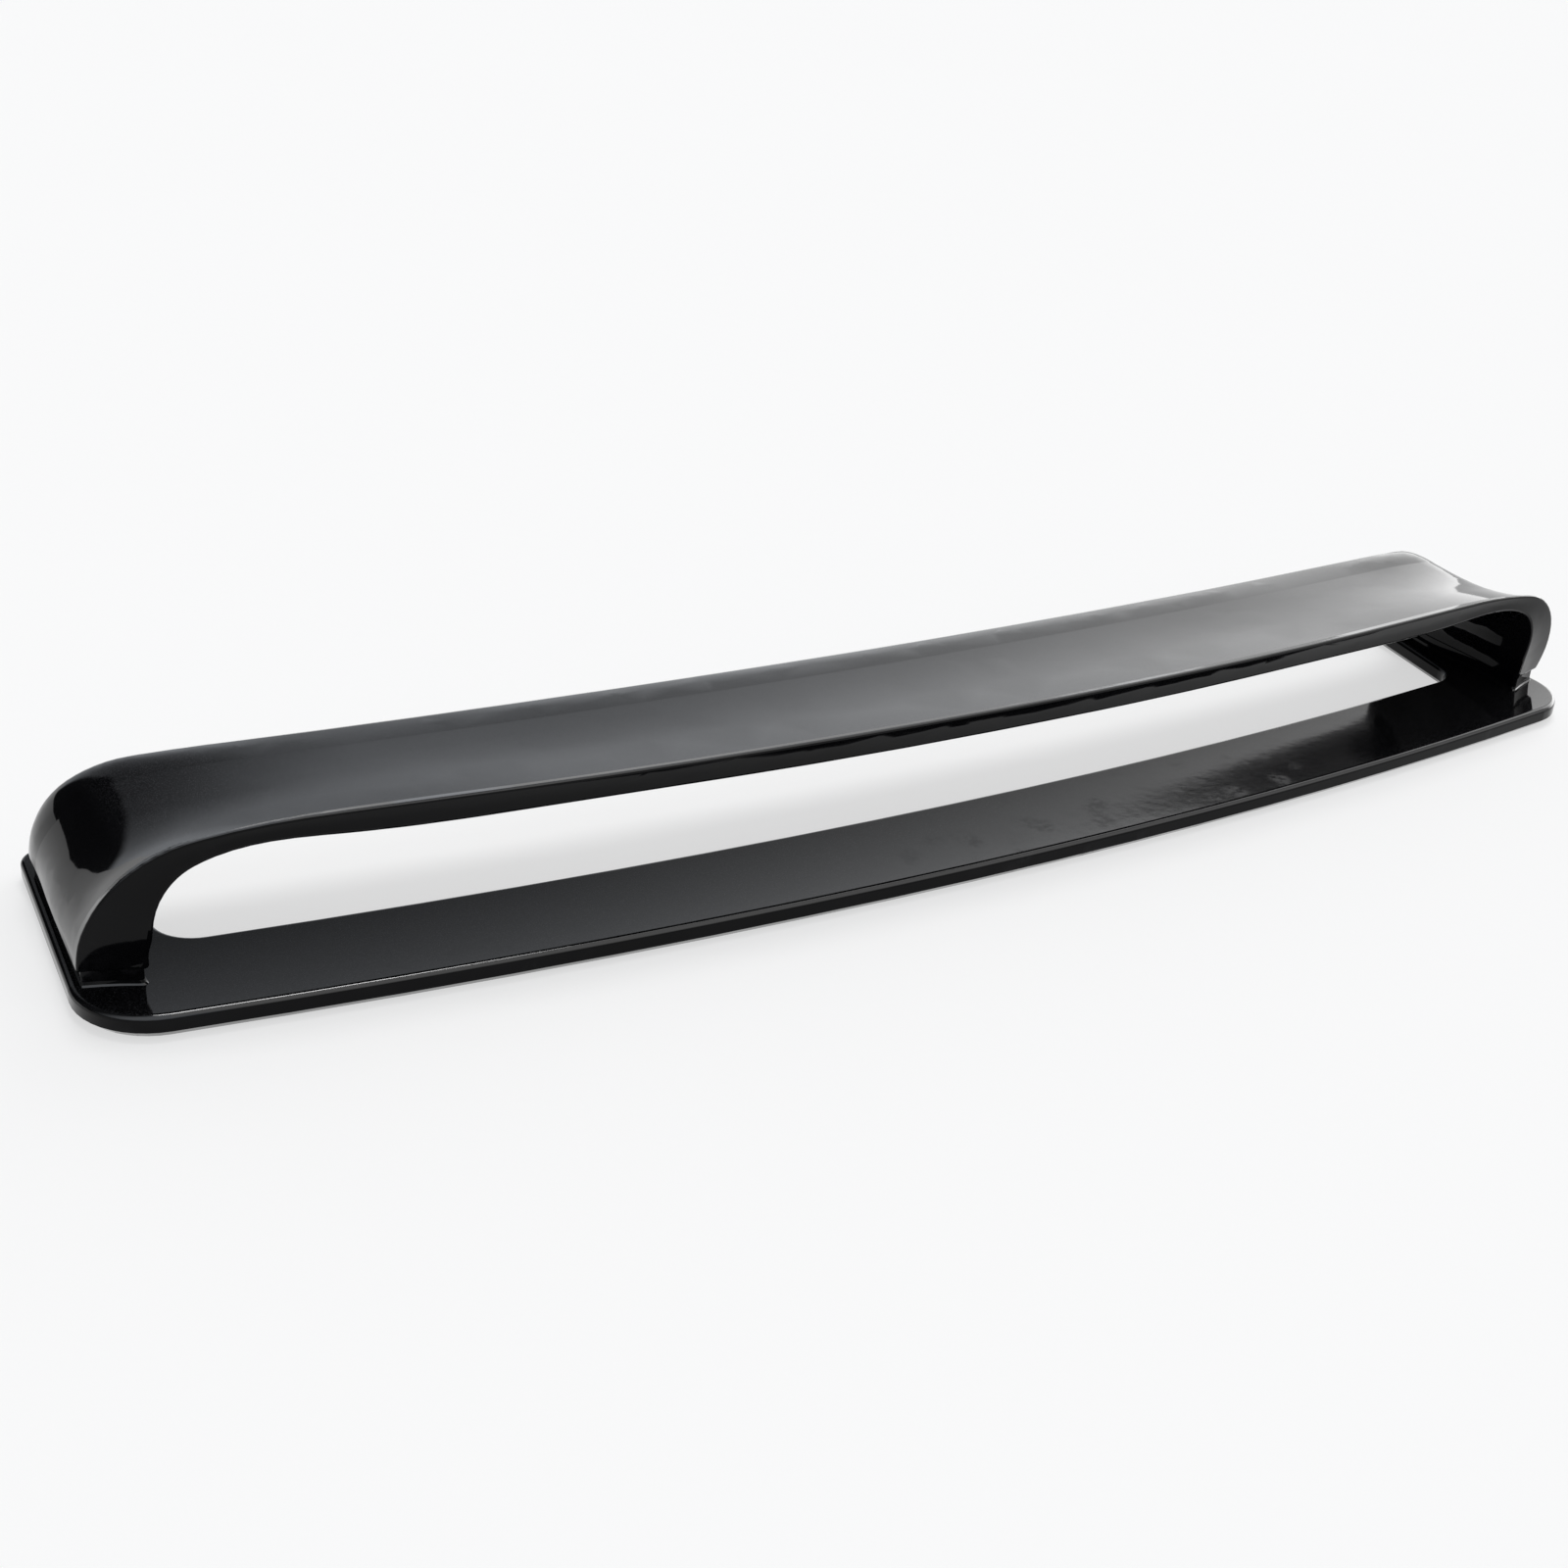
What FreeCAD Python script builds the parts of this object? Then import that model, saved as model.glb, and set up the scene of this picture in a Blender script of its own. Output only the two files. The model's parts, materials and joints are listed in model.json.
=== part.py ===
"""Boot-lid spoiler: an aerofoil wing with both legs moulded on, standing on a blade-shaped base.

The wing is one moulding, lofted along a hoop: a gently crowned top, two rounded corners and two legs.
The base is a second moulding: a bowed blade with an arm running forward under each leg and a plinth on
each arm. Screws from below hold the wing on the plinths, and inserts in the base take the lid's bolts.

Frame: X across the car, +Y to the front of the car, +Z up. The origin is the middle of the footprint,
on the flat plane that the ends of the base stand on.
"""

import FreeCAD, Part
import math
import os

from FreeCAD import Vector

# Driving dimensions, in millimetres and degrees.

# Base
BASE_WIDTH = 1250.0         # tip to tip
BASE_THICKNESS = 16.0
BLADE_CHORD = 89.0          # fore and aft, on the centre line
REAR_BOW = 43.0             # the rear edge runs forward by this from the middle to the tips
FRONT_BOW = 40.0            # the same for the blade's front edge
TIP_RADIUS = 53.0           # rear corner of each tip, in plan
SIDE_TAPER = 7.0            # each side runs in by this from the rear corner to the end of the arm
ARM_FILLET = 28.0           # inner corner between blade and arm, in plan
TOP_EDGE_RADIUS = 4.0
BOTTOM_CHAMFER = 5.0
INNER_LEDGE = 19.0          # arm's top beside the foot, on the inner side
FRONT_LEDGE = 8.5           # arm's top ahead of the foot

# Plinth under each foot
PLINTH_HEIGHT = 11.0
PLINTH_INSET = 2.4          # shadow line between the foot's edge and the plinth
PLINTH_FILLET = 4.0         # flare from the plinth into the arm
PLINTH_ROOT = 1.0           # depth of the flare's foot below the arm's top
OUTER_FLARE = 1.0           # the same flare on the outer side, where there is little room
FOOT_EDGE = 1.6             # rounding of the leg's lower edge

# Hoop seen from behind
LEG_INSET = 7.0             # outer face of the leg, inside the base's tip
LEG_STRAIGHT = 7.0          # upright stretch of the leg above the joint
CORNER_RADIUS = 71.0
WING_CROWN = 2.5            # the wing is this much higher in the middle than at its corners

# Wing section on the centre line, and how it changes down to the foot
TRAIL_SETBACK = 17.0        # trailing edge, ahead of the base's rear edge
WING_CHORD = 170.0
WING_BOW = 51.0             # the trailing edge runs forward by this from the middle to the legs
NOSE_BOW = 34.0             # the same for the nose
RIDGE_SWEEP = 18.0          # further run forward of the trailing edge, from corner to foot
RIM_SWEEP = 5.0             # the same for the inner edge of the rear face
NOSE_SWEEP = 43.0           # the same for the nose
RIM_LEAN = 9.0              # lower edge of the rear face, ahead of the trailing edge
RAKE_WING = 16.5            # trailing edge above the crest
RAKE_FOOT = 2.0             # trailing edge outside the crest, at the foot
RAKE_FADE = 70.0            # the rake starts to fade this far before the corner
RIM_WING = 21.5             # height of the rear face, on the centre line
RIM_CORNER = 15.5           # the same just before the corner
RIM_FOOT = 40.0             # width of the rear face at the foot
THICK_WING = 23.0           # greatest thickness of the wing
THICK_FOOT = 36.0           # the same at the foot
NOSE_DROP_WING = 12.0       # tip of the nose, below the crest
NOSE_DROP_FOOT = 13.0
FOOT_TOE = 5.0              # the foot runs in by this from its trailing edge to its nose
FOOT_TAPER = 0.25           # share of its thickness that the foot loses toward the nose
CORNER_HOLLOW = 7.0         # outer surface ahead of the trailing edge, on the corner
LIP_LENGTH = 9.0            # flat lip along the trailing edge
LIP_ANGLE = 4.0             # crease ahead of the lip, on the wing
RIDGE_RADIUS = 1.6          # trailing edge
RIM_RADIUS = 3.5            # inner edge of the rear face
RIM_HOLLOW = 0.8            # the rear face is this much hollow

# Screws that hold the wing on the base, and threaded inserts
THREAD = 6.0                # metric thread of all the fasteners
THREAD_CLEARANCE = 0.05     # radial, between a screw and its insert
SHANK_CLEARANCE = 0.3       # radial, between a screw and the base or its washer
SCREW_GRIP = 10.0           # length of the screw in the wing's insert
HEAD_DIAMETER = 10.0
HEAD_HEIGHT = 6.0
HEX_SOCKET = 5.0            # across flats
HEX_DEPTH = 3.0
WASHER_DIAMETER = 12.0
WASHER_THICKNESS = 1.6
POCKET_CLEARANCE = 1.0      # round the washer, and below the screw's head
WING_INSERT_DIAMETER = 9.0
WING_INSERT_LENGTH = 12.0
DECK_INSERT_DIAMETER = 9.0
DECK_INSERT_LENGTH = 10.0
INSERT_RECESS = 0.4         # insert's end, behind the surface round it
SCREW_FROM_REAR = 30.0      # rear wing screw, ahead of the foot's trailing edge
SCREW_FROM_NOSE = 55.0      # front wing screw, behind the foot's nose
BLADE_INSERT_X = 260.0      # deck inserts in the blade, from the centre line

# Sizes worked out from those above
HALF_WIDTH = BASE_WIDTH / 2
LEG_X = HALF_WIDTH - LEG_INSET
JOINT_Z = BASE_THICKNESS + PLINTH_HEIGHT
CORNER_X = LEG_X - CORNER_RADIUS
CORNER_LEAD = 0.18 * CORNER_RADIUS
CORNER_Z = JOINT_Z + LEG_STRAIGHT
CROWN_RADIUS = CORNER_X**2 / (2 * WING_CROWN) + CORNER_RADIUS
CORNER_START = math.asin(CORNER_X / (CROWN_RADIUS - CORNER_RADIUS))
CROWN_CENTRE_Z = CORNER_Z - math.sqrt((CROWN_RADIUS - CORNER_RADIUS) ** 2 - CORNER_X**2)
CORNER_TURN = math.pi / 2 - CORNER_START
LEG_LENGTH = CORNER_RADIUS * CORNER_TURN + LEG_STRAIGHT - FOOT_EDGE
FOOT_NOSE = TRAIL_SETBACK + WING_CHORD + NOSE_BOW + NOSE_SWEEP
BASE_DEPTH = FOOT_NOSE + FRONT_LEDGE
FOOT_INNER_X = LEG_X + RAKE_FOOT - RIM_FOOT
ARM_INNER_X = FOOT_INNER_X - INNER_LEDGE
FOOT_REAR = TRAIL_SETBACK + WING_BOW + RIDGE_SWEEP
SCREW_X = LEG_X - THICK_FOOT / 2
SCREW_REAR = FOOT_REAR + SCREW_FROM_REAR
SCREW_FRONT = FOOT_NOSE - SCREW_FROM_NOSE
ARM_INSERT = (SCREW_REAR + SCREW_FRONT) / 2
BLADE_INSERT = BLADE_CHORD / 2 + (REAR_BOW + FRONT_BOW) / 2 * (BLADE_INSERT_X / HALF_WIDTH) ** 2

# Steps along the curves of the wing's section where its faces meet, closest where the curve turns most
RIDGE_DIVISIONS = (0, 0.35, 0.65, 1)
OUTER_DIVISIONS = (0, 0.72, 0.915, 0.943, 0.96, 0.973, 0.986, 1)
INNER_DIVISIONS = (0, 0.022, 0.037, 0.052, 0.07, 0.092, 0.13, 0.34, 1)
RIM_DIVISIONS = (0, 0.28, 0.5, 0.73, 1)


def from_rear(distance):
    """Y of a point that lies this far ahead of the base's rearmost edge."""
    return distance - BASE_DEPTH / 2


class Station:
    """One place along the hoop: a point of the crest line, its outward normal, and its distance past the
    start of the corner, which is negative on the wing and LEG_LENGTH at the foot."""

    def __init__(self, x, z, normal_x, normal_z, path):
        self.x, self.z, self.path = x, z, path
        self.normal_x, self.normal_z = normal_x, normal_z

    def point(self, y, outward):
        return Vector(self.x + self.normal_x * outward, y, self.z + self.normal_z * outward)

    def mirrored(self):
        return Station(-self.x, self.z, -self.normal_x, self.normal_z, self.path)


def wing_station(share):
    """A station on the crowned top, at this share of the way from the centre line to the corner."""
    angle = CORNER_START * share
    x, z = CROWN_RADIUS * math.sin(angle), CROWN_CENTRE_Z + CROWN_RADIUS * math.cos(angle)
    return Station(x, z, math.sin(angle), math.cos(angle), CROWN_RADIUS * (angle - CORNER_START))


def corner_station(share):
    """A station on the corner, at this share of its turn."""
    angle = CORNER_START + CORNER_TURN * share
    x, z = CORNER_X + CORNER_RADIUS * math.sin(angle), CORNER_Z + CORNER_RADIUS * math.cos(angle)
    return Station(x, z, math.sin(angle), math.cos(angle), CORNER_RADIUS * CORNER_TURN * share)


def leg_station(height):
    """A station on the upright stretch, this far above the joint."""
    return Station(LEG_X, JOINT_Z + height, 1.0, 0.0, LEG_LENGTH + FOOT_EDGE - height)


def eased(start, end, share):
    """A size that leaves its first value and reaches its last one without a kink."""
    share = max(0.0, min(1.0, share))
    return start + (end - start) * share**2 * (3 - 2 * share)


def rounded_corner(corner, toward_a, toward_b, radius):
    """The start, control point and end of the curve that rounds the corner between two directions, in
    section coordinates. The radius sets how far from the corner the curve starts and ends."""
    ax, ay = toward_a
    bx, by = toward_b
    half = math.acos(max(-1, min(1, ax * bx + ay * by))) / 2
    reach = radius / math.tan(half)
    first = (corner[0] + ax * reach, corner[1] + ay * reach)
    last = (corner[0] + bx * reach, corner[1] + by * reach)
    return first, corner, last


def unit(from_point, to_point):
    dy, de = to_point[0] - from_point[0], to_point[1] - from_point[1]
    length = math.hypot(dy, de)
    return dy / length, de / length


def turned(direction, degrees):
    c, s = math.cos(math.radians(degrees)), math.sin(math.radians(degrees))
    return direction[0] * c - direction[1] * s, direction[0] * s + direction[1] * c


def spline(points, steps, first_tangent, last_tangent):
    """A curve that passes each point at its step."""
    curve = Part.BSplineCurve()
    curve.interpolate(
        Points=points, Parameters=steps, InitialTangent=first_tangent, FinalTangent=last_tangent
    )
    return curve


def bend(points):
    """A curve with one control point between its ends."""
    curve = Part.BezierCurve()
    curve.setPoles(points)
    return curve


def divided(curve, steps):
    """The curve as an edge from each step to the next, so that each face of a loft turns only a little."""
    return [curve.toShape(start, end) for start, end in zip(steps, steps[1:])]


def flats(curve, steps):
    """The same with straight edges, for an edge rounded so little that its flats don't show."""
    points = [curve.value(step) for step in steps]
    return [Part.LineSegment(start, end).toShape() for start, end in zip(points, points[1:])]


def section(station, outer_inset=0.0, inner_inset=0.0, end_inset=0.0):
    """The hoop's closed outline at a station, as five edges and a lip: rear face, trailing edge, lip,
    outer surface, inner surface and the rounded inner edge. The insets shrink it from each side."""
    bow = (station.x / LEG_X) ** 2
    down = max(0.0, station.path / LEG_LENGTH)
    turn_end = 0.8 * LEG_LENGTH
    rake = eased(RAKE_WING, RAKE_FOOT, (station.path + RAKE_FADE) / (turn_end + RAKE_FADE))
    widening = (station.path + CORNER_LEAD) / (turn_end + CORNER_LEAD)
    along = min(1.0, abs(station.x) / CORNER_X)
    rim_height = eased(RIM_WING + (RIM_CORNER - RIM_WING) * along**2, RIM_FOOT, widening)
    thick = eased(THICK_WING, THICK_FOOT, widening) - outer_inset - inner_inset
    hollow = eased(0, CORNER_HOLLOW, (station.path + RAKE_FADE) / (RAKE_FADE + LEG_LENGTH / 4))
    hollow = eased(hollow, 0, (station.path - LEG_LENGTH / 2) / (LEG_LENGTH / 2))
    toe = eased(0, FOOT_TOE, (station.path - 0.4 * LEG_LENGTH) / (0.6 * LEG_LENGTH))
    taper = eased(0, FOOT_TAPER, widening)
    nose_drop = eased(NOSE_DROP_WING, NOSE_DROP_FOOT, down)
    ridge_y = from_rear(TRAIL_SETBACK + WING_BOW * bow) + RIDGE_SWEEP * down**2 + end_inset
    rim_bow = WING_BOW - RIM_LEAN
    rim_y = from_rear(TRAIL_SETBACK + RIM_LEAN + rim_bow * bow) + RIM_SWEEP * down**2 + end_inset
    nose_y = from_rear(TRAIL_SETBACK + WING_CHORD + NOSE_BOW * bow) + NOSE_SWEEP * down**2 - end_inset

    ridge = (ridge_y, rake - outer_inset)
    rim = (rim_y, rake - rim_height + inner_inset)
    chord = nose_y - ridge_y

    def outer(share):
        dip = 6.75 * share * (1 - share) ** 2
        outward = rake * (1 - share) ** 2 - hollow * dip - toe * share**2 - outer_inset
        return ridge_y + chord * share, outward

    def inner(share, fullness):
        y, e = outer(share)
        return y, e - thick * fullness

    lip_end = outer(LIP_LENGTH / chord)
    crease = LIP_ANGLE * max(0.0, 1 - 3 * down)
    lip_way = turned(unit(ridge, lip_end), -crease)
    lip_end = (ridge[0] + lip_way[0] * LIP_LENGTH, ridge[1] + lip_way[1] * LIP_LENGTH)
    surface_way = turned(unit(lip_end, outer(0.15)), -crease)
    rear_way = unit(ridge, rim)
    inner_points = [inner(0.80, 0.97 - taper), inner(0.55, 1 - 0.4 * taper), inner(0.30, 0.93 + 0.2 * taper)]
    rim_way = unit(rim, inner_points[-1])
    nose = (nose_y, -nose_drop - toe - outer_inset)

    edge_a = rounded_corner(ridge, rear_way, lip_way, RIDGE_RADIUS)
    edge_b = rounded_corner(rim, rim_way, (-rear_way[0], -rear_way[1]), RIM_RADIUS)
    face_middle_y = (edge_b[2][0] + edge_a[0][0]) / 2
    face_middle_e = (edge_b[2][1] + edge_a[0][1]) / 2
    hollow_way = turned(rear_way, 90)
    pull = 2 * RIM_HOLLOW
    face_control = (face_middle_y + hollow_way[0] * pull, face_middle_e + hollow_way[1] * pull)

    def place(point):
        return station.point(*point)

    def heading(way):
        return place(way) - place((0, 0))

    crest = (outer(0.92)[0], outer(0.92)[1] - 0.07 * nose_drop)
    outer_points = [lip_end, outer(0.15), outer(0.3), outer(0.5), outer(0.75), crest, nose]
    inner_run = [nose, *inner_points, edge_b[0]]
    outer_steps = [0, 0.10, 0.25, 0.46, 0.72, 0.89, 1]
    inner_steps = [0, 0.22, 0.49, 0.76, 1]
    nose_way = heading((0, -1))
    rear_curve = bend([place(edge_b[2]), place(face_control), place(edge_a[0])])
    ridge_curve = bend([place(p) for p in edge_a])
    outer_curve = spline([place(p) for p in outer_points], outer_steps, heading(surface_way), nose_way)
    inner_curve = spline([place(p) for p in inner_run], inner_steps, nose_way, -heading(rim_way))
    rim_curve = bend([place(p) for p in edge_b])
    edges = [rear_curve.toShape()] + flats(ridge_curve, RIDGE_DIVISIONS)
    edges.append(Part.LineSegment(place(edge_a[2]), place(lip_end)).toShape())
    edges += divided(outer_curve, OUTER_DIVISIONS) + divided(inner_curve, INNER_DIVISIONS)
    edges += divided(rim_curve, RIM_DIVISIONS)
    return Part.Wire(edges)


def loft(outlines, ruled=False):
    return Part.makeLoft(outlines, True, ruled)


def plain_foot(z, outer_inset, inner_inset, end_inset):
    """The foot's outline at the joint, carried to another height and shrunk."""
    return section(Station(LEG_X, z, 1.0, 0.0, LEG_LENGTH), outer_inset, inner_inset, end_inset)


def both_sides(shape):
    return [shape, shape.mirror(Vector(), Vector(1, 0, 0))]


def cylinder(radius, height, x, y, z):
    return Part.makeCylinder(radius, height, Vector(x, y, z))


def foot_edge():
    """The rounded lower edge of a leg, from where the loft ends down to the joint."""
    outlines = []
    for degrees in (0, 45, 90):
        angle = math.radians(degrees)
        inset = FOOT_EDGE * (1 - math.cos(angle))
        outlines.append(plain_foot(JOINT_Z + FOOT_EDGE * (1 - math.sin(angle)), inset, inset, inset))
    return loft(outlines, ruled=True)


def wing_body():
    """The hoop's loft, with the rounded lower edge of each leg."""
    half = [wing_station(share) for share in (0.3, 0.6, 0.85)]
    half += [corner_station(step / 8) for step in range(9)]
    half += [leg_station(LEG_STRAIGHT / 2), leg_station(FOOT_EDGE)]
    stations = [s.mirrored() for s in reversed(half)] + [wing_station(0)] + half
    hoop = loft([section(station) for station in stations])
    return hoop.multiFuse(both_sides(foot_edge()))


def tangent_turn(dx, dy, radius_drop):
    """The direction, in degrees, that a straight side faces between two rounded corners, from the way
    from the first corner's centre to the second's and the drop in radius. A hollow corner counts as
    a negative radius."""
    facing = math.atan2(dy, dx) - math.acos(radius_drop / math.hypot(dx, dy))
    return math.degrees(facing)


def plan_outline(z):
    """The base's outline in plan: rear edge, tips, arms, inner corners and front edge, all tangent."""
    rear, front = from_rear(0), from_rear(BLADE_CHORD)
    rear_radius = (HALF_WIDTH**2 + REAR_BOW**2) / (2 * REAR_BOW)
    front_radius = (HALF_WIDTH**2 + FRONT_BOW**2) / (2 * FRONT_BOW)
    tip_x = HALF_WIDTH - TIP_RADIUS
    tip_y = rear + rear_radius - math.sqrt((rear_radius - TIP_RADIUS) ** 2 - tip_x**2)
    notch_x = ARM_INNER_X - ARM_FILLET
    notch_y = front + front_radius - math.sqrt((front_radius - ARM_FILLET) ** 2 - notch_x**2)
    end_radius = FRONT_LEDGE + 0.22 * THICK_FOOT
    end_x, end_y = HALF_WIDTH - SIDE_TAPER - end_radius, from_rear(BASE_DEPTH) - end_radius
    side_turn = tangent_turn(end_x - tip_x, end_y - tip_y, TIP_RADIUS - end_radius)
    arm_turn = tangent_turn(notch_x - end_x, notch_y - end_y, end_radius + ARM_FILLET) + 360

    def on_circle(cx, cy, radius, degrees):
        angle = math.radians(degrees)
        return Vector(cx + radius * math.cos(angle), cy + radius * math.sin(angle), z)

    def flip(point):
        return Vector(-point.x, point.y, point.z)

    rear_turn = math.degrees(math.atan2(tip_y - rear - rear_radius, tip_x))
    front_turn = math.degrees(math.atan2(notch_y - front - front_radius, notch_x))
    tip_turns = (rear_turn, (rear_turn + side_turn) / 2, side_turn)
    tip = [on_circle(tip_x, tip_y, TIP_RADIUS, a) for a in tip_turns]
    end = [on_circle(end_x, end_y, end_radius, a) for a in (side_turn, 90, arm_turn)]
    notch_turns = (arm_turn - 180, (arm_turn - 180 + front_turn) / 2, front_turn)
    notch = [on_circle(notch_x, notch_y, ARM_FILLET, a) for a in notch_turns]
    right = [
        Part.Arc(*tip).toShape(),
        Part.LineSegment(tip[2], end[0]).toShape(),
        Part.Arc(*end).toShape(),
        Part.LineSegment(end[2], notch[0]).toShape(),
        Part.Arc(*notch).toShape(),
    ]
    left = [edge.mirror(Vector(), Vector(1, 0, 0)) for edge in right]
    rear_edge = Part.Arc(flip(tip[0]), Vector(0, rear, z), tip[0]).toShape()
    front_edge = Part.Arc(notch[2], Vector(0, front, z), flip(notch[2])).toShape()
    return Part.Wire(Part.sortEdges([rear_edge, front_edge, *right, *left])[0])


def edges_at(shape, z):
    """The edges that lie flat at this height."""
    return [e for e in shape.Edges if abs(e.BoundBox.ZMin - z) < 0.01 and abs(e.BoundBox.ZMax - z) < 0.01]


def plinth():
    """The seat of one foot, flared into the arm and upright above."""
    outlines = []
    low = BASE_THICKNESS - PLINTH_ROOT
    for degrees in (0, 30, 60, 90):
        angle = math.radians(degrees)
        flare = 1 - math.sin(angle)
        z = low + PLINTH_FILLET * (1 - math.cos(angle))
        side = PLINTH_INSET - PLINTH_FILLET * flare
        outlines.append(plain_foot(z, PLINTH_INSET - OUTER_FLARE * flare, side, side))
    outlines.append(plain_foot(JOINT_Z, PLINTH_INSET, PLINTH_INSET, PLINTH_INSET))
    return loft(outlines, ruled=True)


def base_body():
    blade = Part.Face(plan_outline(0.0)).extrude(Vector(0, 0, BASE_THICKNESS))
    blade = blade.makeFillet(TOP_EDGE_RADIUS, edges_at(blade, BASE_THICKNESS))
    blade = blade.makeChamfer(BOTTOM_CHAMFER, edges_at(blade, 0))
    return blade.multiFuse(both_sides(plinth()))


def screw_places():
    """X and Y of the wing screws."""
    return [(side * SCREW_X, from_rear(d)) for side in (-1, 1) for d in (SCREW_REAR, SCREW_FRONT)]


def deck_places():
    """X and Y of the deck inserts: one in each arm, and two in the blade."""
    spots = [(SCREW_X, ARM_INSERT), (BLADE_INSERT_X, BLADE_INSERT)]
    return [(side * x, from_rear(d)) for x, d in spots for side in (-1, 1)]


def seat_z():
    """Height of the faces that the washers bear on, inside the pockets under the arms."""
    return POCKET_CLEARANCE + HEAD_HEIGHT + WASHER_THICKNESS


def wing_insert_z():
    return JOINT_Z + INSERT_RECESS


def make_wing():
    wing = wing_body()
    spaces = []
    for x, y in screw_places():
        diameter = WING_INSERT_DIAMETER
        depth = INSERT_RECESS + WING_INSERT_LENGTH
        spaces.append(cylinder(diameter / 2, depth, x, y, JOINT_Z))
    return wing.cut(spaces)


def make_base():
    base = base_body()
    spaces = []
    for x, y in screw_places():
        pocket_radius = WASHER_DIAMETER / 2 + POCKET_CLEARANCE
        spaces.append(cylinder(pocket_radius, seat_z() + 10, x, y, -10))
        spaces.append(cylinder(THREAD / 2 + SHANK_CLEARANCE, JOINT_Z + 10, x, y, 0))
    for x, y in deck_places():
        depth = INSERT_RECESS + DECK_INSERT_LENGTH
        spaces.append(cylinder(DECK_INSERT_DIAMETER / 2, depth, x, y, 0))
    return base.cut(spaces)


def make_screw(x, y):
    """A socket-head screw, head down, its bearing face against the washer."""
    bearing = seat_z() - WASHER_THICKNESS
    shank_length = JOINT_Z + INSERT_RECESS + SCREW_GRIP - bearing
    head = cylinder(HEAD_DIAMETER / 2, HEAD_HEIGHT, x, y, bearing - HEAD_HEIGHT)
    rim = [e for e in head.Edges if e.BoundBox.ZMax < bearing - HEAD_HEIGHT / 2 and e.Closed]
    head = head.makeChamfer(0.08 * HEAD_HEIGHT, rim)
    corner = HEX_SOCKET / math.sqrt(3)
    turns = [math.radians(60 * k) for k in range(7)]
    low = bearing - HEAD_HEIGHT
    hexagon = Part.makePolygon([Vector(x + corner * math.cos(a), y + corner * math.sin(a), low) for a in turns])
    socket = Part.Face(hexagon).extrude(Vector(0, 0, HEX_DEPTH))
    shank = cylinder(THREAD / 2 - THREAD_CLEARANCE, shank_length, x, y, bearing)
    tip = [e for e in shank.Edges if e.BoundBox.ZMin > bearing + shank_length / 2 and e.Closed]
    shank = shank.makeChamfer(0.12 * THREAD, tip)
    return head.cut(socket).fuse(shank).removeSplitter()


def make_washer(x, y):
    z = seat_z() - WASHER_THICKNESS
    ring = cylinder(WASHER_DIAMETER / 2, WASHER_THICKNESS, x, y, z)
    return ring.cut(cylinder(THREAD / 2 + SHANK_CLEARANCE, WASHER_THICKNESS, x, y, z))


def make_wing_insert(x, y):
    blank = cylinder(WING_INSERT_DIAMETER / 2, WING_INSERT_LENGTH, x, y, wing_insert_z())
    return blank.cut(cylinder(THREAD / 2, WING_INSERT_LENGTH, x, y, wing_insert_z()))


def make_deck_insert(x, y):
    blank = cylinder(DECK_INSERT_DIAMETER / 2, DECK_INSERT_LENGTH, x, y, INSERT_RECESS)
    return blank.cut(cylinder(THREAD / 2, DECK_INSERT_LENGTH, x, y, INSERT_RECESS))


def group(make, places):
    return Part.makeCompound([solid for x, y in places for solid in make(x, y).Solids])


def main():
    os.makedirs("parts", exist_ok=True)
    nodes = {
        "wing": make_wing(),
        "base": make_base(),
        "wing_screws": group(make_screw, screw_places()),
        "wing_washers": group(make_washer, screw_places()),
        "wing_inserts": group(make_wing_insert, screw_places()),
        "deck_inserts": group(make_deck_insert, deck_places()),
    }
    for name, shape in nodes.items():
        if not shape.isValid() or not shape.Solids:
            raise RuntimeError(f"{name} is not a sound solid")
        shape.exportStep(f"parts/{name}.step")
        print(name, len(shape.Solids), "solids", round(shape.Volume / 1000, 1), "cm3")


if __name__ == "__main__":
    main()
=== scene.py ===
"""Boot-lid spoiler in gloss black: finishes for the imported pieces, and the studio they stand in.

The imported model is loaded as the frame. Each operator gives a group of pieces its finish or builds the
stage, and the panel in the sidebar lists them with the values that they use.
"""

import bpy
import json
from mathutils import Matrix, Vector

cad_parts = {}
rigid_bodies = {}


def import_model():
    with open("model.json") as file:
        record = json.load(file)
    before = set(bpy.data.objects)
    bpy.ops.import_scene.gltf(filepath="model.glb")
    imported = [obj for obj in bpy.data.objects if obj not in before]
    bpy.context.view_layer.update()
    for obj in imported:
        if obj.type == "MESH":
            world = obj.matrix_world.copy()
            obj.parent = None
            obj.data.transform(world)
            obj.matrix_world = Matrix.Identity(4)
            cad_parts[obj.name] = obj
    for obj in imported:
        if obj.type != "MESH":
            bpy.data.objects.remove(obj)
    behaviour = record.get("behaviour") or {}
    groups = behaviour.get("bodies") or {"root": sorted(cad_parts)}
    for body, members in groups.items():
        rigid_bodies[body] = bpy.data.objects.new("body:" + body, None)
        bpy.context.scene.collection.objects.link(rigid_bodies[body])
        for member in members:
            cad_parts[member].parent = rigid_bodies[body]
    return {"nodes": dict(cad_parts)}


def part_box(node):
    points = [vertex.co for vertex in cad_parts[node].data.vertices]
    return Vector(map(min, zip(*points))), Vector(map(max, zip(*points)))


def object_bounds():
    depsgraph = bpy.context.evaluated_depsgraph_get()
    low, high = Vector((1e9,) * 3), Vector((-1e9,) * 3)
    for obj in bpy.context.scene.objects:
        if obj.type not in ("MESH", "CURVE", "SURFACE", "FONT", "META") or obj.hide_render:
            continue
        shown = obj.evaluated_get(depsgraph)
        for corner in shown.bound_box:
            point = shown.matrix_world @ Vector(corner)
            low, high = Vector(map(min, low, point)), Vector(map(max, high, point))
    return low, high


for leftover in list(bpy.data.objects):
    bpy.data.objects.remove(leftover)
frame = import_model()
CAD_BOX = [list(corner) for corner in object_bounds()]

import json
import math

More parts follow.
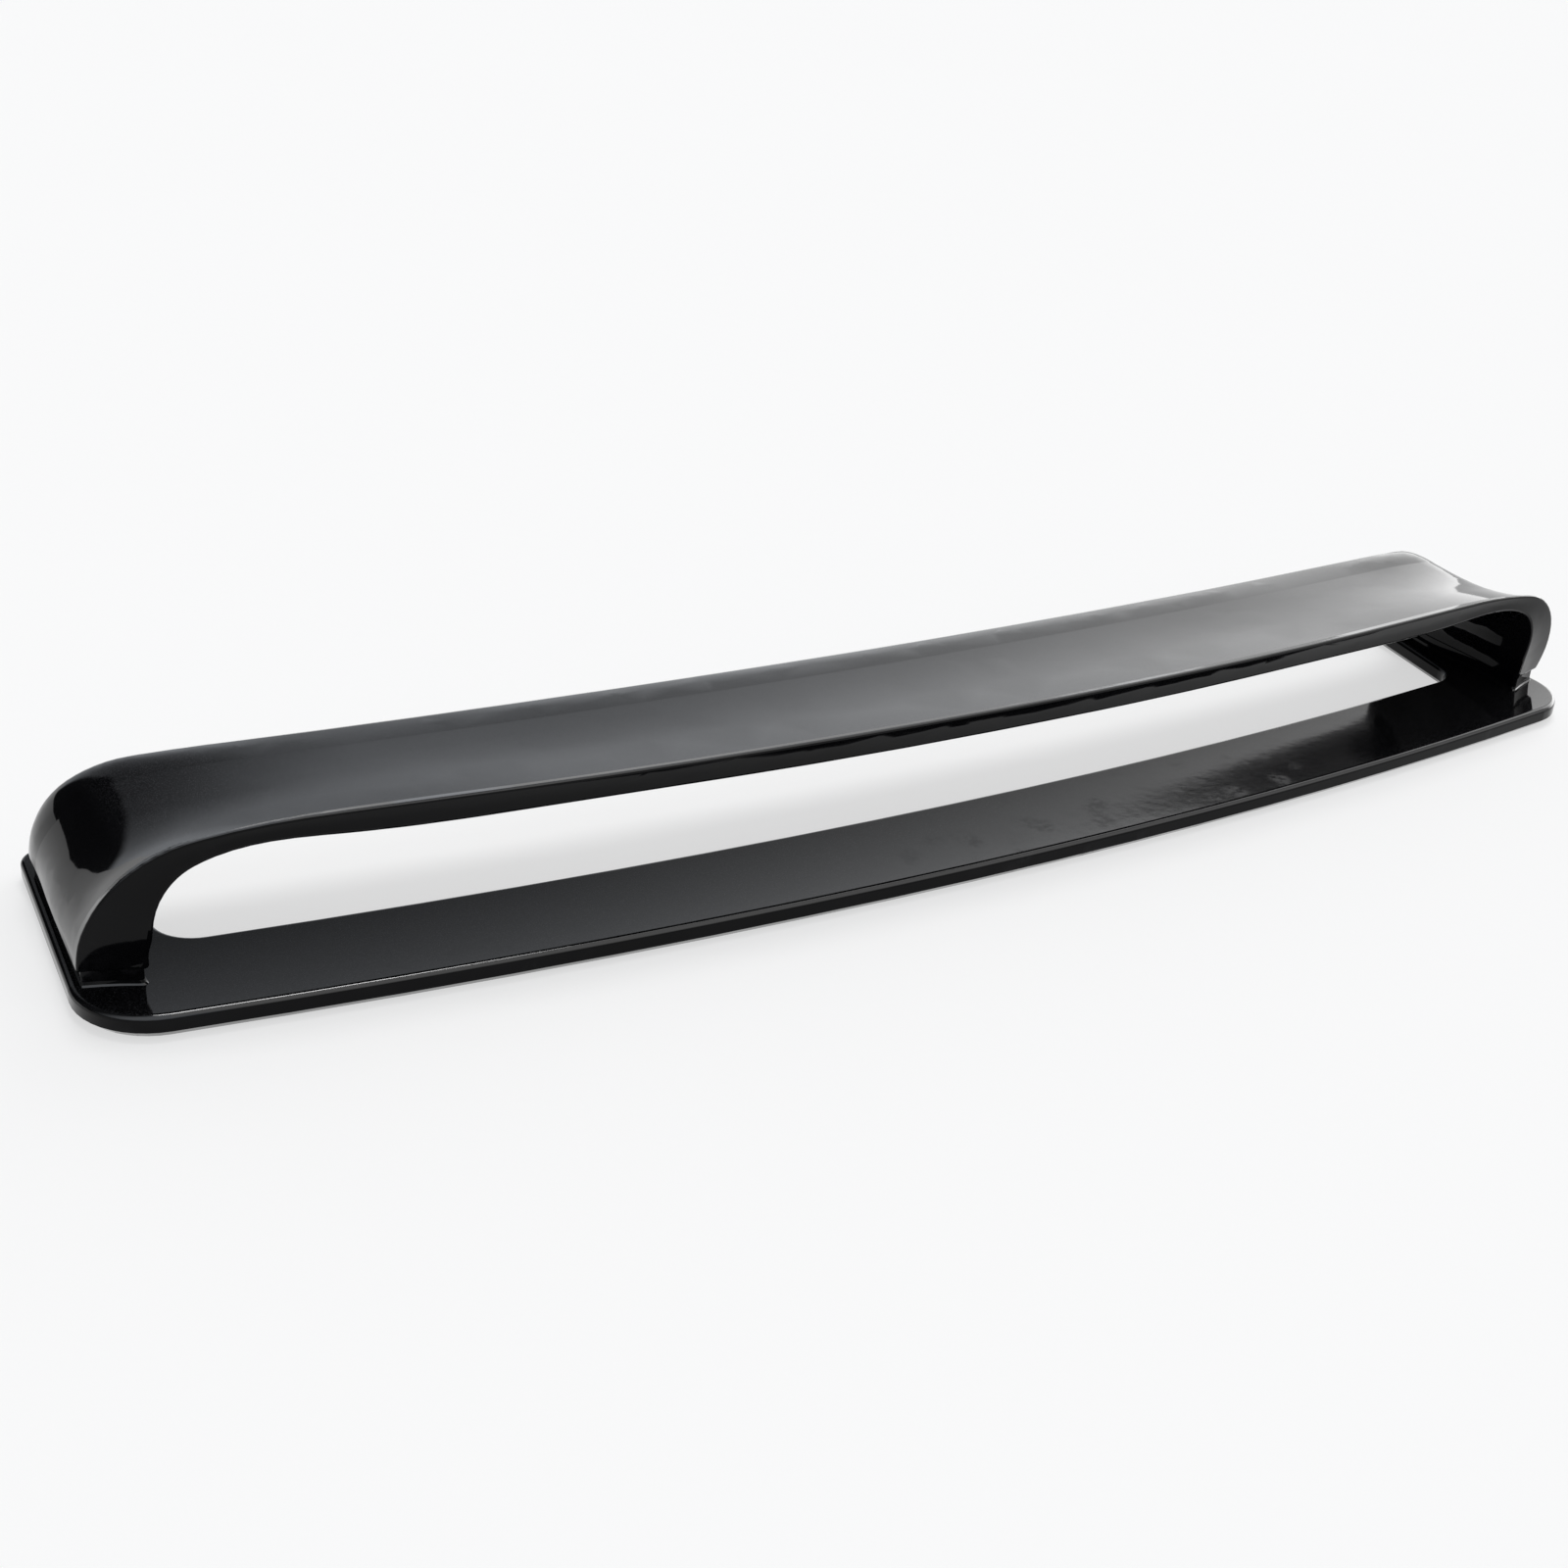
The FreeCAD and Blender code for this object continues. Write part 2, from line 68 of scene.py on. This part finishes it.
from bpy.props import FloatProperty, FloatVectorProperty, PointerProperty
from mathutils import Matrix, Vector

bl_info = {
    "name": "Boot-lid spoiler",
    "version": (1, 0, 0),
    "blender": (4, 5, 0),
    "location": "View3D > Sidebar > Spoiler",
    "description": "Finishes a gloss black boot-lid spoiler and sets up its studio",
    "category": "Object",
}

IMAGE_SIDE = 1600
SENSOR_WIDTH = 36.0

# Sizes of the base, in metres, that its shading follows
REAR_BOW = 0.043
BLADE_CHORD = 0.089
BASE_THICKNESS = 0.016
LIP_RADIUS = 0.004
LIP_HALF_LENGTH = 0.565

# Share of finger marks: the photo shows more of them on the base than on the wing
WING_TOUCHED = 0.25
BASE_TOUCHED = 0.85

# Texture scales of the lacquer, in cells per metre
GRAIN_SCALE = 1100.0
PRINT_SCALE = 38.0
BREAK_SCALE = 210.0
PATCH_SCALE = 5.5
HAZE_SCALE = 17.0
WAVE_SCALE = 120.0
HAZE_SHARE = 0.25

# Texture scales and finish of the metal
DULL_SCALE = 420.0
RING_SCALE = 900.0
RING_HEIGHT = 0.00004
DULL_ROUGHNESS = 0.22
ZINC_POLISH = 0.24
BRASS_POLISH = 0.28

# The stage: turns are radians from straight ahead, to the right; heights are the z of a direction
WINDOW_LEFT = (-0.34, -0.24)
WINDOW_RIGHT = (1.9, 1.4)
BRIGHTER = (0.1, 1.1)
NEUTRAL = (0.2, 0.9)
WINDOW_HEIGHT = (0.02, 0.62)
WINDOW_FADE = (1.2, 0.5)
WALLS_FROM = (1.3, 2.2)
OVERHEAD_TURN = (math.radians(-14.0), math.radians(10.0), 0.0)
FLOOR_SIDE = 90.0
FLOOR_GAP = 0.0004
MOTTLE_SCALE = 0.8
MOTTLE_SHADE = 0.985
WHITE = (1.0, 1.0, 1.0, 1.0)


def share(name, default, description):
    return FloatProperty(
        name=name, description=description, default=default, min=0.0, max=1.0, subtype="FACTOR"
    )


def length(name, default, description):
    return FloatProperty(name=name, description=description, default=default, unit="LENGTH")


def angle(name, degrees, description):
    return FloatProperty(
        name=name, description=description, default=math.radians(degrees), subtype="ANGLE"
    )


def colour(name, default, description):
    return FloatVectorProperty(
        name=name, description=description, default=default, size=3, min=0.0, max=1.0, subtype="COLOR"
    )


def power(name, default, description):
    return FloatProperty(name=name, description=description, default=default, min=0.0, subtype="NONE")


class SPOILER_PG_lacquer(bpy.types.PropertyGroup):
    """The gloss black lacquer on both mouldings"""

    black: colour("Black", (0.0020, 0.0020, 0.0024), "Colour of the lacquer where it is clean")
    dust: colour("Dust", (0.022, 0.022, 0.024), "Colour of the fine dust that lies on the lacquer")
    film: colour("Film", (0.010, 0.010, 0.011), "Colour of the thin film where fingers have touched")
    index: FloatProperty(
        name="Index",
        description="Index of refraction, low so that faces seen square on stay black",
        default=1.2,
        min=1.0,
    )
    rim_index: FloatProperty(
        name="Rim index",
        description="Index of refraction of the coat on the rear rims, high so that they show light lines",
        default=1.9,
        min=1.0,
    )
    gloss: share("Gloss", 0.045, "Roughness of the clean lacquer")
    smudge: share("Smudge", 0.15, "Roughness of the lacquer under finger marks")
    peel: length("Orange peel", 0.000012, "Height of the slight waviness of the sprayed surface")
    hollow: length("Hollow", 0.0055, "Depth of the hollow in the base's shading, rear lip to front")


class SPOILER_PG_metal(bpy.types.PropertyGroup):
    """The plated screws and washers, and the brass inserts"""

    zinc: colour("Zinc", (0.52, 0.53, 0.55), "Colour of the plated screws and washers")
    zinc_dull: colour("Dull zinc", (0.34, 0.35, 0.37), "Colour of the plating in its dull patches")
    brass: colour("Brass", (0.70, 0.51, 0.24), "Colour of the inserts")
    brass_dull: colour("Dull brass", (0.42, 0.29, 0.13), "Colour of the brass in its dull patches")


class SPOILER_PG_studio(bpy.types.PropertyGroup):
    """Camera, floor and lamps"""

    camera_at: FloatVectorProperty(
        name="Camera",
        description="Place of the camera",
        default=(-0.80282, -1.11249, 0.67037),
        size=3,
        subtype="XYZ",
        unit="LENGTH",
    )
    heading: angle("Heading", 31.81, "The camera's turn from straight ahead to the right")
    pitch: angle("Pitch", 26.03, "The camera's tilt down")
    roll: angle("Roll", 4.05, "The camera's roll, clockwise")
    focal: FloatProperty(
        name="Focal length", description="In pixels of the square image", default=2061.5, min=1.0
    )
    floor: colour("Floor", (0.985, 0.985, 0.985), "Colour of the floor")
    lift: share("Lift", 0.62, "Share of the floor's brightness that it gives itself, without shadow")
    window: power("Window", 0.85, "Brightness of the window ahead, at its left")
    window_right: power("Window right", 2.4, "Brightness of the window at its right")
    cool: colour("Cool light", (0.90, 0.94, 1.0), "Colour of the light from the left of the window")
    overhead: power("Overhead", 1.2, "Strength of the light from above")
    spread: angle("Spread", 22.0, "Width of the light from above, as an angle")
    room: power("Room", 0.03, "Brightness of the dark corner to the left of the window")
    walls: power("Walls", 0.6, "Brightness of the pale walls behind the part")


def settings():
    scene = bpy.context.scene
    return scene.spoiler_lacquer, scene.spoiler_metal, scene.spoiler_studio


def rgba(value):
    return (*value, 1.0)


class Nodes:
    """Short ways to add and join the nodes of one tree."""

    def __init__(self, tree):
        self.tree = tree

    def add(self, kind, inputs=None, **fields):
        node = self.tree.nodes.new(kind)
        for key, value in fields.items():
            setattr(node, key, value)
        for key, value in (inputs or {}).items():
            self.feed(node.inputs[key], value)
        return node

    def feed(self, socket, value):
        if isinstance(value, bpy.types.NodeSocket):
            self.tree.links.new(value, socket)
        else:
            socket.default_value = value

    def noise(self, vector, scale, detail=2.0, roughness=0.5):
        return self.add(
            "ShaderNodeTexNoise",
            {"Vector": vector, "Scale": scale, "Detail": detail, "Roughness": roughness},
        ).outputs["Fac"]

    def ramp(self, value, low, high, to_low=0.0, to_high=1.0):
        return self.add(
            "ShaderNodeMapRange",
            {"Value": value, "From Min": low, "From Max": high, "To Min": to_low, "To Max": to_high},
            interpolation_type="SMOOTHSTEP",
        ).outputs["Result"]

    def math(self, operation, a, b=0.0):
        node = self.add("ShaderNodeMath", operation=operation)
        self.feed(node.inputs[0], a)
        self.feed(node.inputs[1], b)
        return node.outputs[0]

    def vector(self, operation, a, b=(0.0, 0.0, 0.0)):
        return self.add("ShaderNodeVectorMath", {0: a, 1: b}, operation=operation).outputs[0]

    def bump(self, height, distance, strength=1.0):
        return self.add("ShaderNodeBump", {"Height": height, "Strength": strength, "Distance": distance})

    def mix_colour(self, factor, a, b):
        node = self.add("ShaderNodeMix", data_type="RGBA")
        self.feed(node.inputs[0], factor)
        self.feed(node.inputs[6], a)
        self.feed(node.inputs[7], b)
        return node.outputs[2]

    def mix_value(self, factor, a, b):
        node = self.add("ShaderNodeMix", data_type="FLOAT")
        self.feed(node.inputs[0], factor)
        self.feed(node.inputs[2], a)
        self.feed(node.inputs[3], b)
        return node.outputs[0]


def new_group(name, inputs, outputs):
    """An empty node group with these sockets, each given as (name, kind, default)."""
    group = bpy.data.node_groups.new(name, "ShaderNodeTree")
    for socket_name, kind, default in inputs:
        socket = group.interface.new_socket(socket_name, in_out="INPUT", socket_type=kind)
        socket.default_value = default
    for socket_name, kind in outputs:
        group.interface.new_socket(socket_name, in_out="OUTPUT", socket_type=kind)
    nodes = Nodes(group)
    return group, nodes, nodes.add("NodeGroupInput").outputs, nodes.add("NodeGroupOutput").inputs


def lacquer_group():
    """Sprayed lacquer: slight waviness, patches dulled by fingers, and fine dust on what faces up."""
    name = "Sprayed lacquer"
    if name in bpy.data.node_groups:
        return bpy.data.node_groups[name]
    group, nodes, given, out = new_group(
        name,
        [
            ("Black", "NodeSocketColor", (0, 0, 0, 1)),
            ("Dust", "NodeSocketColor", (0, 0, 0, 1)),
            ("Film", "NodeSocketColor", (0, 0, 0, 1)),
            ("Gloss", "NodeSocketFloat", 0.05),
            ("Smudge", "NodeSocketFloat", 0.15),
            ("Touched", "NodeSocketFloat", 0.5),
        ],
        [("Color", "NodeSocketColor"), ("Roughness", "NodeSocketFloat"), ("Waviness", "NodeSocketFloat")],
    )
    place = nodes.add("ShaderNodeTexCoord").outputs["Object"]
    normal = nodes.add("ShaderNodeNewGeometry").outputs["Normal"]
    upward = nodes.add("ShaderNodeSeparateXYZ", {"Vector": normal})
    settled = nodes.ramp(upward.outputs["Z"], 0.75, 0.97)
    specks = nodes.ramp(nodes.noise(place, GRAIN_SCALE, 2.0), 0.44, 0.72)
    grain = nodes.math("MULTIPLY", specks, settled)
    cells = nodes.add("ShaderNodeTexVoronoi", {"Vector": place, "Scale": PRINT_SCALE}, feature="SMOOTH_F1")
    prints = nodes.ramp(cells.outputs["Distance"], 0.42, 0.16)
    broken = nodes.ramp(nodes.noise(place, BREAK_SCALE, 3.0, 0.6), 0.35, 0.62)
    spots = nodes.math("MULTIPLY", prints, broken)
    untouched = nodes.ramp(nodes.noise(place, PATCH_SCALE, 1.0), 0.60, 0.42)
    where = nodes.math("MULTIPLY", nodes.math("SUBTRACT", 1.0, untouched), given["Touched"])
    marks = nodes.math("MULTIPLY", spots, where)
    cloud = nodes.ramp(nodes.noise(place, HAZE_SCALE, 4.0, 0.6), 0.45, 0.75)
    haze = nodes.math("MULTIPLY", cloud, HAZE_SHARE)
    dulled = nodes.math("MAXIMUM", marks, nodes.math("MULTIPLY", haze, given["Touched"]))
    clean = nodes.mix_colour(grain, given["Black"], given["Dust"])
    nodes.feed(out["Color"], nodes.mix_colour(dulled, clean, given["Film"]))
    nodes.feed(out["Roughness"], nodes.mix_value(dulled, given["Gloss"], given["Smudge"]))
    nodes.feed(out["Waviness"], nodes.noise(place, WAVE_SCALE, 2.0, 0.4))
    return group


def rim_group():
    """Mask of the rounded rims that face up and to the rear, whose light lines the low index would hide."""
    name = "Polished rims"
    if name in bpy.data.node_groups:
        return bpy.data.node_groups[name]
    group, nodes, given, out = new_group(
        name, [("Normal", "NodeSocketVector", (0, 0, 1))], [("Mask", "NodeSocketFloat")]
    )
    # This mask paints in highlights: the rims it picks get a stronger coat reflection, not a real polish.
    facing = nodes.add("ShaderNodeSeparateXYZ", {"Vector": given["Normal"]})
    not_upright = nodes.ramp(facing.outputs["Z"], 0.30, 0.55)
    not_level = nodes.ramp(facing.outputs["Z"], 0.99, 0.94)
    raised = nodes.math("MULTIPLY", not_upright, not_level)
    rearward = nodes.ramp(facing.outputs["Y"], -0.10, -0.30)
    nodes.feed(out["Mask"], nodes.math("MULTIPLY", raised, rearward))
    return group


def plating_group():
    """Turned metal: rings round the axis, and duller patches."""
    name = "Turned metal"
    if name in bpy.data.node_groups:
        return bpy.data.node_groups[name]
    group, nodes, given, out = new_group(
        name,
        [
            ("Bright", "NodeSocketColor", (0, 0, 0, 1)),
            ("Dull", "NodeSocketColor", (0, 0, 0, 1)),
            ("Polish", "NodeSocketFloat", 0.25),
        ],
        [("Color", "NodeSocketColor"), ("Roughness", "NodeSocketFloat"), ("Rings", "NodeSocketFloat")],
    )
    place = nodes.add("ShaderNodeTexCoord").outputs["Object"]
    patches = nodes.ramp(nodes.noise(place, DULL_SCALE, 4.0, 0.6), 0.38, 0.68)
    rings = nodes.add(
        "ShaderNodeTexWave",
        {"Vector": place, "Scale": RING_SCALE, "Distortion": 1.2},
        wave_type="BANDS",
        bands_direction="Z",
    ).outputs["Fac"]
    nodes.feed(out["Color"], nodes.mix_colour(patches, given["Bright"], given["Dull"]))
    rougher = nodes.math("MULTIPLY", patches, DULL_ROUGHNESS)
    nodes.feed(out["Roughness"], nodes.math("ADD", given["Polish"], rougher))
    nodes.feed(out["Rings"], rings)
    return group


def new_material(name):
    """A material with only a Principled BSDF and its output."""
    material = bpy.data.materials.new(name)
    material.use_nodes = True
    nodes = Nodes(material.node_tree)
    material.node_tree.nodes.clear()
    shader = nodes.add("ShaderNodeBsdfPrincipled")
    nodes.add("ShaderNodeOutputMaterial", {"Surface": shader.outputs["BSDF"]})
    return material, nodes, shader


def rear_arc(nodes):
    """The vector from the centre of the base's rear edge, an arc seen from above, its length, and the
    arc's radius."""
    (left, rear, _), (right, _, _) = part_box("base")
    half_width = (right - left) / 2
    radius = (half_width**2 + REAR_BOW**2) / (2 * REAR_BOW)
    place = nodes.add("ShaderNodeTexCoord").outputs["Object"]
    flat = nodes.vector("MULTIPLY", place, (1.0, 1.0, 0.0))
    centre = (0.0, rear + radius, 0.0)
    spoke = nodes.vector("SUBTRACT", flat, centre)
    away = nodes.add("ShaderNodeVectorMath", {0: spoke}, operation="LENGTH").outputs["Value"]
    return place, spoke, away, radius


def hollow_height(nodes, lacquer):
    """Height of a shallow hollow in the base's top. Only the shading has it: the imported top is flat."""
    _, _, away, radius = rear_arc(nodes)
    along = nodes.add(
        "ShaderNodeMapRange",
        {"Value": away, "From Min": radius - BLADE_CHORD, "From Max": radius, "To Min": 0.0, "To Max": 1.0},
    ).outputs["Result"]
    return nodes.math("MULTIPLY", nodes.math("MULTIPLY", along, along), lacquer.hollow)


def lip_normal(nodes):
    """The base's normal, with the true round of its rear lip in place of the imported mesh's short flats."""
    place, spoke, away, radius = rear_arc(nodes)
    own = nodes.add("ShaderNodeNewGeometry").outputs["Normal"]
    at = nodes.add("ShaderNodeSeparateXYZ", {"Vector": place}).outputs
    out = nodes.math("SUBTRACT", away, radius - LIP_RADIUS)
    up = nodes.math("SUBTRACT", at["Z"], BASE_THICKNESS - LIP_RADIUS)
    way = nodes.vector("NORMALIZE", spoke)
    level = nodes.add("ShaderNodeVectorMath", {0: way, "Scale": out}, operation="SCALE").outputs[0]
    rise = nodes.add("ShaderNodeCombineXYZ", {"Z": up}).outputs[0]
    true = nodes.vector("NORMALIZE", nodes.vector("ADD", level, rise))
    outside = nodes.math("GREATER_THAN", out, 0.0)
    above = nodes.math("GREATER_THAN", up, 0.0)
    between = nodes.math("LESS_THAN", nodes.math("ABSOLUTE", at["X"]), LIP_HALF_LENGTH)
    mask = nodes.math("MULTIPLY", nodes.math("MULTIPLY", outside, above), between)
    return nodes.add("ShaderNodeMix", {0: mask, 4: own, 5: true}, data_type="VECTOR").outputs[1]


def lacquer_material(name, touched, hollow=False):
    """Gloss black lacquer, with more or fewer finger marks."""
    lacquer = settings()[0]
    material, nodes, shader = new_material(name)
    film = nodes.add("ShaderNodeGroup", node_tree=lacquer_group())
    for key, value in (
        ("Black", rgba(lacquer.black)),
        ("Dust", rgba(lacquer.dust)),
        ("Film", rgba(lacquer.film)),
        ("Gloss", lacquer.gloss),
        ("Smudge", lacquer.smudge),
        ("Touched", touched),
    ):
        nodes.feed(film.inputs[key], value)
    bump = nodes.bump(film.outputs["Waviness"], lacquer.peel)
    rims = nodes.add("ShaderNodeGroup", node_tree=rim_group())
    normal = nodes.add("ShaderNodeNewGeometry").outputs["Normal"]
    if hollow:
        normal = lip_normal(nodes)
        form = nodes.bump(hollow_height(nodes, lacquer), 1.0)
        nodes.feed(form.inputs["Normal"], normal)
        nodes.feed(bump.inputs["Normal"], form.outputs["Normal"])
    nodes.feed(rims.inputs["Normal"], normal)
    nodes.feed(shader.inputs["Base Color"], film.outputs["Color"])
    nodes.feed(shader.inputs["Roughness"], film.outputs["Roughness"])
    nodes.feed(shader.inputs["Normal"], bump.outputs["Normal"])
    # Painted highlight: the rims facing up and to the rear get a stronger coat reflection so that their
    # light lines show.
    nodes.feed(shader.inputs["Coat Weight"], rims.outputs["Mask"])
    shader.inputs["Coat IOR"].default_value = lacquer.rim_index
    shader.inputs["Coat Roughness"].default_value = lacquer.gloss
    shader.inputs["IOR"].default_value = lacquer.index
    return material


def metal_material(name, bright, dull, polish):
    material, nodes, shader = new_material(name)
    turned = nodes.add("ShaderNodeGroup", node_tree=plating_group())
    for key, value in (("Bright", rgba(bright)), ("Dull", rgba(dull)), ("Polish", polish)):
        nodes.feed(turned.inputs[key], value)
    bump = nodes.bump(turned.outputs["Rings"], RING_HEIGHT, 0.4)
    nodes.feed(shader.inputs["Base Color"], turned.outputs["Color"])
    nodes.feed(shader.inputs["Roughness"], turned.outputs["Roughness"])
    nodes.feed(shader.inputs["Normal"], bump.outputs["Normal"])
    shader.inputs["Metallic"].default_value = 1.0
    return material


def coat(node, material):
    """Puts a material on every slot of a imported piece."""
    piece = frame["nodes"][node]
    if not piece.material_slots:
        raise RuntimeError(f"{node} has no material slot")
    for slot in piece.material_slots:
        slot.material = material


class SPOILER_OT_mouldings(bpy.types.Operator):
    """Gives the wing and the base their gloss black lacquer"""

    bl_idname = "spoiler.mouldings"
    bl_label = "Lacquer the mouldings"

    def execute(self, context):
        coat("wing", lacquer_material("Wing lacquer", WING_TOUCHED))
        coat("base", lacquer_material("Base lacquer", BASE_TOUCHED, hollow=True))
        return {"FINISHED"}


class SPOILER_OT_fasteners(bpy.types.Operator):
    """Gives the screws, washers and inserts their metal"""

    bl_idname = "spoiler.fasteners"
    bl_label = "Finish the fasteners"

    def execute(self, context):
        metal = settings()[1]
        zinc = metal_material("Plated steel", metal.zinc, metal.zinc_dull, ZINC_POLISH)
        brass = metal_material("Turned brass", metal.brass, metal.brass_dull, BRASS_POLISH)
        for node, material in (
            ("wing_screws", zinc), ("wing_washers", zinc), ("wing_inserts", brass), ("deck_inserts", brass)
        ):
            coat(node, material)
        return {"FINISHED"}


def floor_material(studio):
    """A pale floor that gives most of its brightness itself, so that the part's shadow stays light."""
    material, nodes, shader = new_material("Studio floor")
    place = nodes.add("ShaderNodeTexCoord").outputs["Object"]
    mottle = nodes.noise(place, MOTTLE_SCALE, 2.0)
    plain = [(1.0 - studio.lift) * c for c in studio.floor]
    low = rgba([MOTTLE_SHADE * c for c in plain])
    nodes.feed(shader.inputs["Base Color"], nodes.mix_colour(mottle, low, rgba(plain)))
    shader.inputs["Roughness"].default_value = 0.9
    shader.inputs["Specular IOR Level"].default_value = 0.0
    shader.inputs["Emission Color"].default_value = rgba(studio.floor)
    shader.inputs["Emission Strength"].default_value = studio.lift
    material.cycles.emission_sampling = "NONE"
    return material


def add_floor(studio):
    side = FLOOR_SIDE
    corners = [(-side, -side, 0), (side, -side, 0), (side, side, 0), (-side, side, 0)]
    mesh = bpy.data.meshes.new("studio_floor")
    mesh.from_pydata(corners, [], [(0, 1, 2, 3)])
    mesh.materials.append(floor_material(studio))
    floor = bpy.data.objects.new("studio_floor", mesh)
    bpy.context.scene.collection.objects.link(floor)
    floor.location.z = CAD_BOX[0][2] - FLOOR_GAP


def add_overhead(studio):
    """One wide soft light from above, so far off that the floor is evenly lit."""
    lamp = bpy.data.lights.new("overhead_light", "SUN")
    lamp.energy = studio.overhead
    lamp.angle = studio.spread
    light = bpy.data.objects.new("overhead_light", lamp)
    light.rotation_euler = OVERHEAD_TURN
    bpy.context.scene.collection.objects.link(light)


def add_world(studio):
    """A bright window ahead of the part, brighter to the right, a dark corner beside it, and pale walls."""
    world = bpy.data.worlds.new("Studio room")
    bpy.context.scene.world = world
    world.use_nodes = True
    nodes = Nodes(world.node_tree)
    world.node_tree.nodes.clear()
    direction = nodes.add("ShaderNodeTexCoord").outputs["Generated"]
    way = nodes.add("ShaderNodeSeparateXYZ", {"Vector": direction})
    turn = nodes.math("ARCTAN2", way.outputs["X"], way.outputs["Y"])
    opening = nodes.math("MULTIPLY", nodes.ramp(turn, *WINDOW_LEFT), nodes.ramp(turn, *WINDOW_RIGHT))
    level = nodes.ramp(turn, *BRIGHTER, studio.window, studio.window_right)
    height = nodes.ramp(way.outputs["Z"], *WINDOW_HEIGHT, *WINDOW_FADE)
    window = nodes.math("MULTIPLY", nodes.math("MULTIPLY", opening, level), height)
    walls = nodes.ramp(nodes.math("ABSOLUTE", turn), *WALLS_FROM, studio.room, studio.walls)
    strength = nodes.math("MAXIMUM", window, walls)
    tint = nodes.mix_colour(nodes.ramp(turn, *NEUTRAL), rgba(studio.cool), WHITE)
    background = nodes.add("ShaderNodeBackground", {"Color": tint, "Strength": strength})
    nodes.add("ShaderNodeOutputWorld", {"Surface": background.outputs["Background"]})


def add_camera(studio):
    scene = bpy.context.scene
    data = bpy.data.cameras.new("photo_camera")
    data.sensor_width = SENSOR_WIDTH
    data.lens = studio.focal / IMAGE_SIDE * data.sensor_width
    data.clip_start = 0.01
    data.clip_end = 200.0
    az, el, roll = studio.heading, studio.pitch, studio.roll
    look = Vector((math.sin(az) * math.cos(el), math.cos(az) * math.cos(el), -math.sin(el)))
    level = Vector((math.cos(az), -math.sin(az), 0.0))
    down = look.cross(level)
    right = math.cos(roll) * level - math.sin(roll) * down
    up = -(math.sin(roll) * level + math.cos(roll) * down)
    turn = Matrix((right, up, -look)).transposed().to_4x4()
    camera = bpy.data.objects.new("photo_camera", data)
    camera.matrix_world = Matrix.Translation(studio.camera_at) @ turn
    scene.collection.objects.link(camera)
    scene.camera = camera


class SPOILER_OT_stage(bpy.types.Operator):
    """Sets up the floor, the lamps, the room and the camera"""

    bl_idname = "spoiler.stage"
    bl_label = "Set the stage"

    def execute(self, context):
        studio = settings()[2]
        add_floor(studio)
        add_world(studio)
        add_overhead(studio)
        add_camera(studio)
        context.scene.view_settings.view_transform = "Standard"
        return {"FINISHED"}


class SPOILER_PT_build(bpy.types.Panel):
    """Lists the steps and their values"""

    bl_idname = "SPOILER_PT_build"
    bl_label = "Boot-lid spoiler"
    bl_space_type = "VIEW_3D"
    bl_region_type = "UI"
    bl_category = "Spoiler"

    def draw(self, context):
        for group, steps in zip(settings(), (MOULDING_STEPS, FASTENER_STEPS, STAGE_STEPS)):
            box = self.layout.box()
            for step in steps:
                box.operator(step.bl_idname)
            for key in group.__annotations__:
                box.prop(group, key)


MOULDING_STEPS = (SPOILER_OT_mouldings,)
FASTENER_STEPS = (SPOILER_OT_fasteners,)
STAGE_STEPS = (SPOILER_OT_stage,)
GROUPS = {
    "spoiler_lacquer": SPOILER_PG_lacquer,
    "spoiler_metal": SPOILER_PG_metal,
    "spoiler_studio": SPOILER_PG_studio,
}
CLASSES = (*GROUPS.values(), *MOULDING_STEPS, *FASTENER_STEPS, *STAGE_STEPS, SPOILER_PT_build)


def register():
    for cls in CLASSES:
        bpy.utils.register_class(cls)
    for name, group in GROUPS.items():
        setattr(bpy.types.Scene, name, PointerProperty(type=group))


def unregister():
    for name in GROUPS:
        delattr(bpy.types.Scene, name)
    for cls in reversed(CLASSES):
        bpy.utils.unregister_class(cls)


def main():
    register()
    bpy.ops.spoiler.mouldings()
    bpy.ops.spoiler.fasteners()
    bpy.ops.spoiler.stage()
    bpy.context.view_layer.update()


if __name__ == "__main__":
    main()
